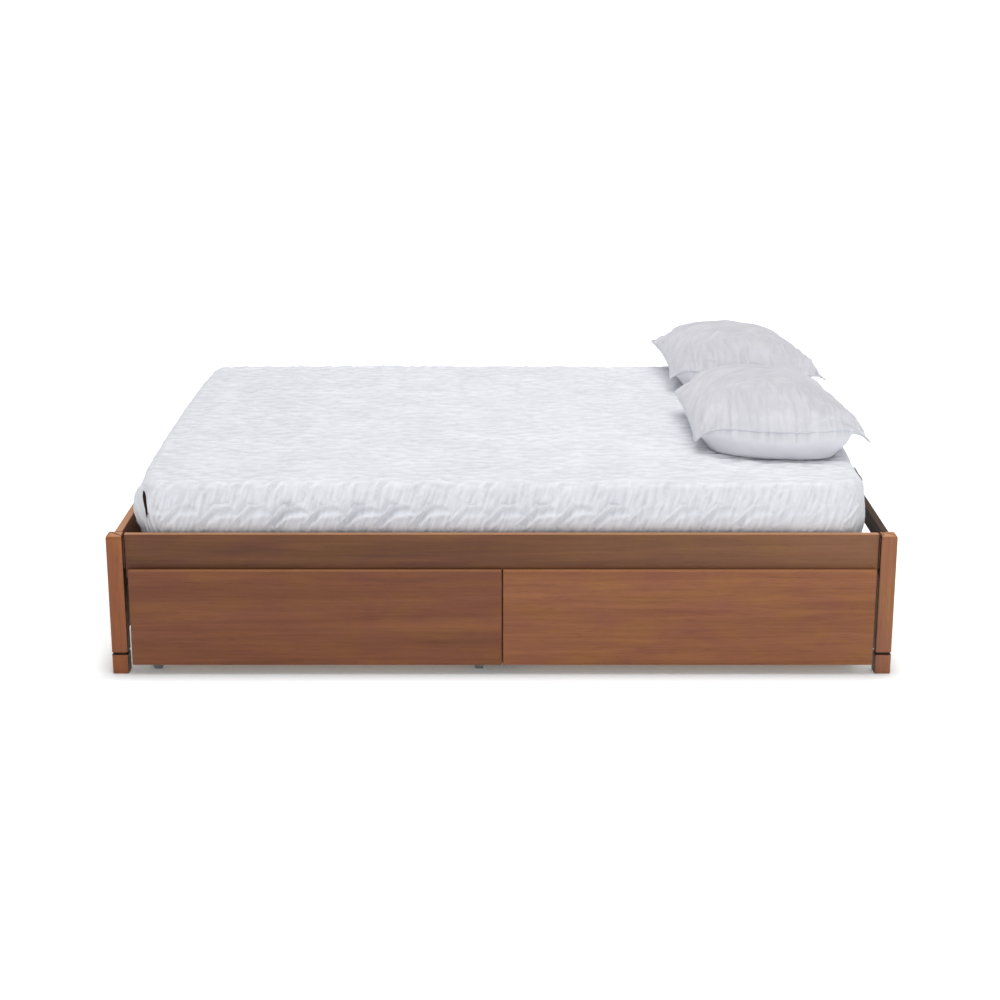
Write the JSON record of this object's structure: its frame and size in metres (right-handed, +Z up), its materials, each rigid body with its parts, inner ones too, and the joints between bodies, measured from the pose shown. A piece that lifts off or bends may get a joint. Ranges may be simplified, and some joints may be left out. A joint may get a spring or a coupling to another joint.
{
  "type": "platform bed with storage drawers",
  "caption": "Low walnut platform bed with rolling storage drawers under one long side, a slatted base, a mattress in a quilted white cover and pillows.",
  "frame": {"origin": "on the floor, under the middle of the whole object's plan, drawers closed", "axes": "+X from the foot end to the head end, +Z up, and the drawers pull out towards -Y"},
  "size_m": [2.12, 1.618, 0.7203],
  "materials": {
    "walnut_post": "satin",
    "walnut_rail": "satin",
    "walnut_panel": "satin",
    "walnut_drawer_front": "satin",
    "dark_stained_wood": "satin",
    "pale_softwood": "matte",
    "plywood": "matte",
    "black_steel": "satin",
    "zinc_steel": "satin",
    "grey_nylon": "satin",
    "mattress_ticking": "matte",
    "quilted_cotton": "matte",
    "pillow_cotton": "matte"
  },
  "bodies": {
    "frame": {"centre_beam": "pale_softwood", "centre_leg_1": "pale_softwood", "centre_leg_2": "pale_softwood", "centre_leg_3": "pale_softwood", "foot_panel": "walnut_panel", "head_rail": "dark_stained_wood", "ledger_back": "pale_softwood", "ledger_front": "pale_softwood", "post_back_foot": "walnut_post", "post_back_head": "walnut_post", "post_front_foot": "walnut_post", "post_front_head": "walnut_post", "rail_hanger_back_foot": "black_steel", "rail_hanger_back_head": "black_steel", "rail_hanger_front_foot": "black_steel", "rail_hanger_front_head": "black_steel", "side_rail_back": "walnut_rail", "side_rail_front": "walnut_rail", "slat_01": "pale_softwood", "slat_02": "pale_softwood", "slat_03": "pale_softwood", "slat_04": "pale_softwood", "slat_05": "pale_softwood", "slat_06": "pale_softwood", "slat_07": "pale_softwood", "slat_08": "pale_softwood", "slat_09": "pale_softwood", "slat_10": "pale_softwood", "slat_11": "pale_softwood", "slat_12": "pale_softwood"},
    "drawer_left": {"caster_left_back_foot": "zinc_steel", "caster_left_back_head": "zinc_steel", "caster_left_front_foot": "zinc_steel", "caster_left_front_head": "zinc_steel", "drawer_left_back": "plywood", "drawer_left_bottom": "plywood", "drawer_left_front": "walnut_drawer_front", "drawer_left_side_foot": "plywood", "drawer_left_side_head": "plywood"},
    "wheel_left_front_foot": {"wheel_left_front_foot": "grey_nylon"},
    "wheel_left_front_head": {"wheel_left_front_head": "grey_nylon"},
    "wheel_left_back_foot": {"wheel_left_back_foot": "grey_nylon"},
    "wheel_left_back_head": {"wheel_left_back_head": "grey_nylon"},
    "drawer_right": {"caster_right_back_foot": "zinc_steel", "caster_right_back_head": "zinc_steel", "caster_right_front_foot": "zinc_steel", "caster_right_front_head": "zinc_steel", "drawer_right_back": "plywood", "drawer_right_bottom": "plywood", "drawer_right_front": "walnut_drawer_front", "drawer_right_side_foot": "plywood", "drawer_right_side_head": "plywood"},
    "wheel_right_front_foot": {"wheel_right_front_foot": "grey_nylon"},
    "wheel_right_front_head": {"wheel_right_front_head": "grey_nylon"},
    "wheel_right_back_foot": {"wheel_right_back_foot": "grey_nylon"},
    "wheel_right_back_head": {"wheel_right_back_head": "grey_nylon"},
    "mattress": {"mattress": "mattress_ticking", "mattress_cover": "quilted_cotton"},
    "pillow_front": {"pillow_front": "pillow_cotton"},
    "pillow_rear": {"pillow_rear": "pillow_cotton"}
  },
  "joints": [
    {"name": "drawer_left_slide", "type": "slide", "parent": "frame", "child": "drawer_left", "axis": [0, -1, 0], "range_m": [0, 0.66]},
    {"name": "wheel_left_front_foot_roll", "type": "hinge", "parent": "drawer_left", "child": "wheel_left_front_foot", "pos_m": [-0.942, -0.757, 0.02], "axis": [1, 0, 0], "range_deg": [-5, 1900]},
    {"name": "wheel_left_front_head_roll", "type": "hinge", "parent": "drawer_left", "child": "wheel_left_front_head", "pos_m": [-0.0615, -0.757, 0.02], "axis": [1, 0, 0], "range_deg": [-5, 1900]},
    {"name": "wheel_left_back_foot_roll", "type": "hinge", "parent": "drawer_left", "child": "wheel_left_back_foot", "pos_m": [-0.942, -0.1344, 0.02], "axis": [1, 0, 0], "range_deg": [-5, 1900]},
    {"name": "wheel_left_back_head_roll", "type": "hinge", "parent": "drawer_left", "child": "wheel_left_back_head", "pos_m": [-0.0615, -0.1344, 0.02], "axis": [1, 0, 0], "range_deg": [-5, 1900]},
    {"name": "drawer_right_slide", "type": "slide", "parent": "frame", "child": "drawer_right", "axis": [0, -1, 0], "range_m": [0, 0.66]},
    {"name": "wheel_right_front_foot_roll", "type": "hinge", "parent": "drawer_right", "child": "wheel_right_front_foot", "pos_m": [0.0655, -0.711, 0.02], "axis": [1, 0, 0], "range_deg": [-5, 1900]},
    {"name": "wheel_right_front_head_roll", "type": "hinge", "parent": "drawer_right", "child": "wheel_right_front_head", "pos_m": [0.946, -0.711, 0.02], "axis": [1, 0, 0], "range_deg": [-5, 1900]},
    {"name": "wheel_right_back_foot_roll", "type": "hinge", "parent": "drawer_right", "child": "wheel_right_back_foot", "pos_m": [0.0655, -0.1804, 0.02], "axis": [1, 0, 0], "range_deg": [-5, 1900]},
    {"name": "wheel_right_back_head_roll", "type": "hinge", "parent": "drawer_right", "child": "wheel_right_back_head", "pos_m": [0.946, -0.1804, 0.02], "axis": [1, 0, 0], "range_deg": [-5, 1900]},
    {"name": "mattress_lift", "type": "slide", "parent": "frame", "child": "mattress", "axis": [0, 0, 1], "range_m": [0, 0.3]},
    {"name": "pillow_front_lift", "type": "slide", "parent": "mattress", "child": "pillow_front", "axis": [0, 0, 1], "range_m": [0, 0.3]},
    {"name": "pillow_rear_lift", "type": "slide", "parent": "mattress", "child": "pillow_rear", "axis": [0, 0, 1], "range_m": [0, 0.3]}
  ],
  "couplings": [
    {"joint": "wheel_left_front_foot_roll", "follows": "drawer_left_slide", "rad_per_m": 50},
    {"joint": "wheel_left_front_head_roll", "follows": "drawer_left_slide", "rad_per_m": 50},
    {"joint": "wheel_left_back_foot_roll", "follows": "drawer_left_slide", "rad_per_m": 50},
    {"joint": "wheel_left_back_head_roll", "follows": "drawer_left_slide", "rad_per_m": 50},
    {"joint": "wheel_right_front_foot_roll", "follows": "drawer_right_slide", "rad_per_m": 50},
    {"joint": "wheel_right_front_head_roll", "follows": "drawer_right_slide", "rad_per_m": 50},
    {"joint": "wheel_right_back_foot_roll", "follows": "drawer_right_slide", "rad_per_m": 50},
    {"joint": "wheel_right_back_head_roll", "follows": "drawer_right_slide", "rad_per_m": 50}
  ]
}
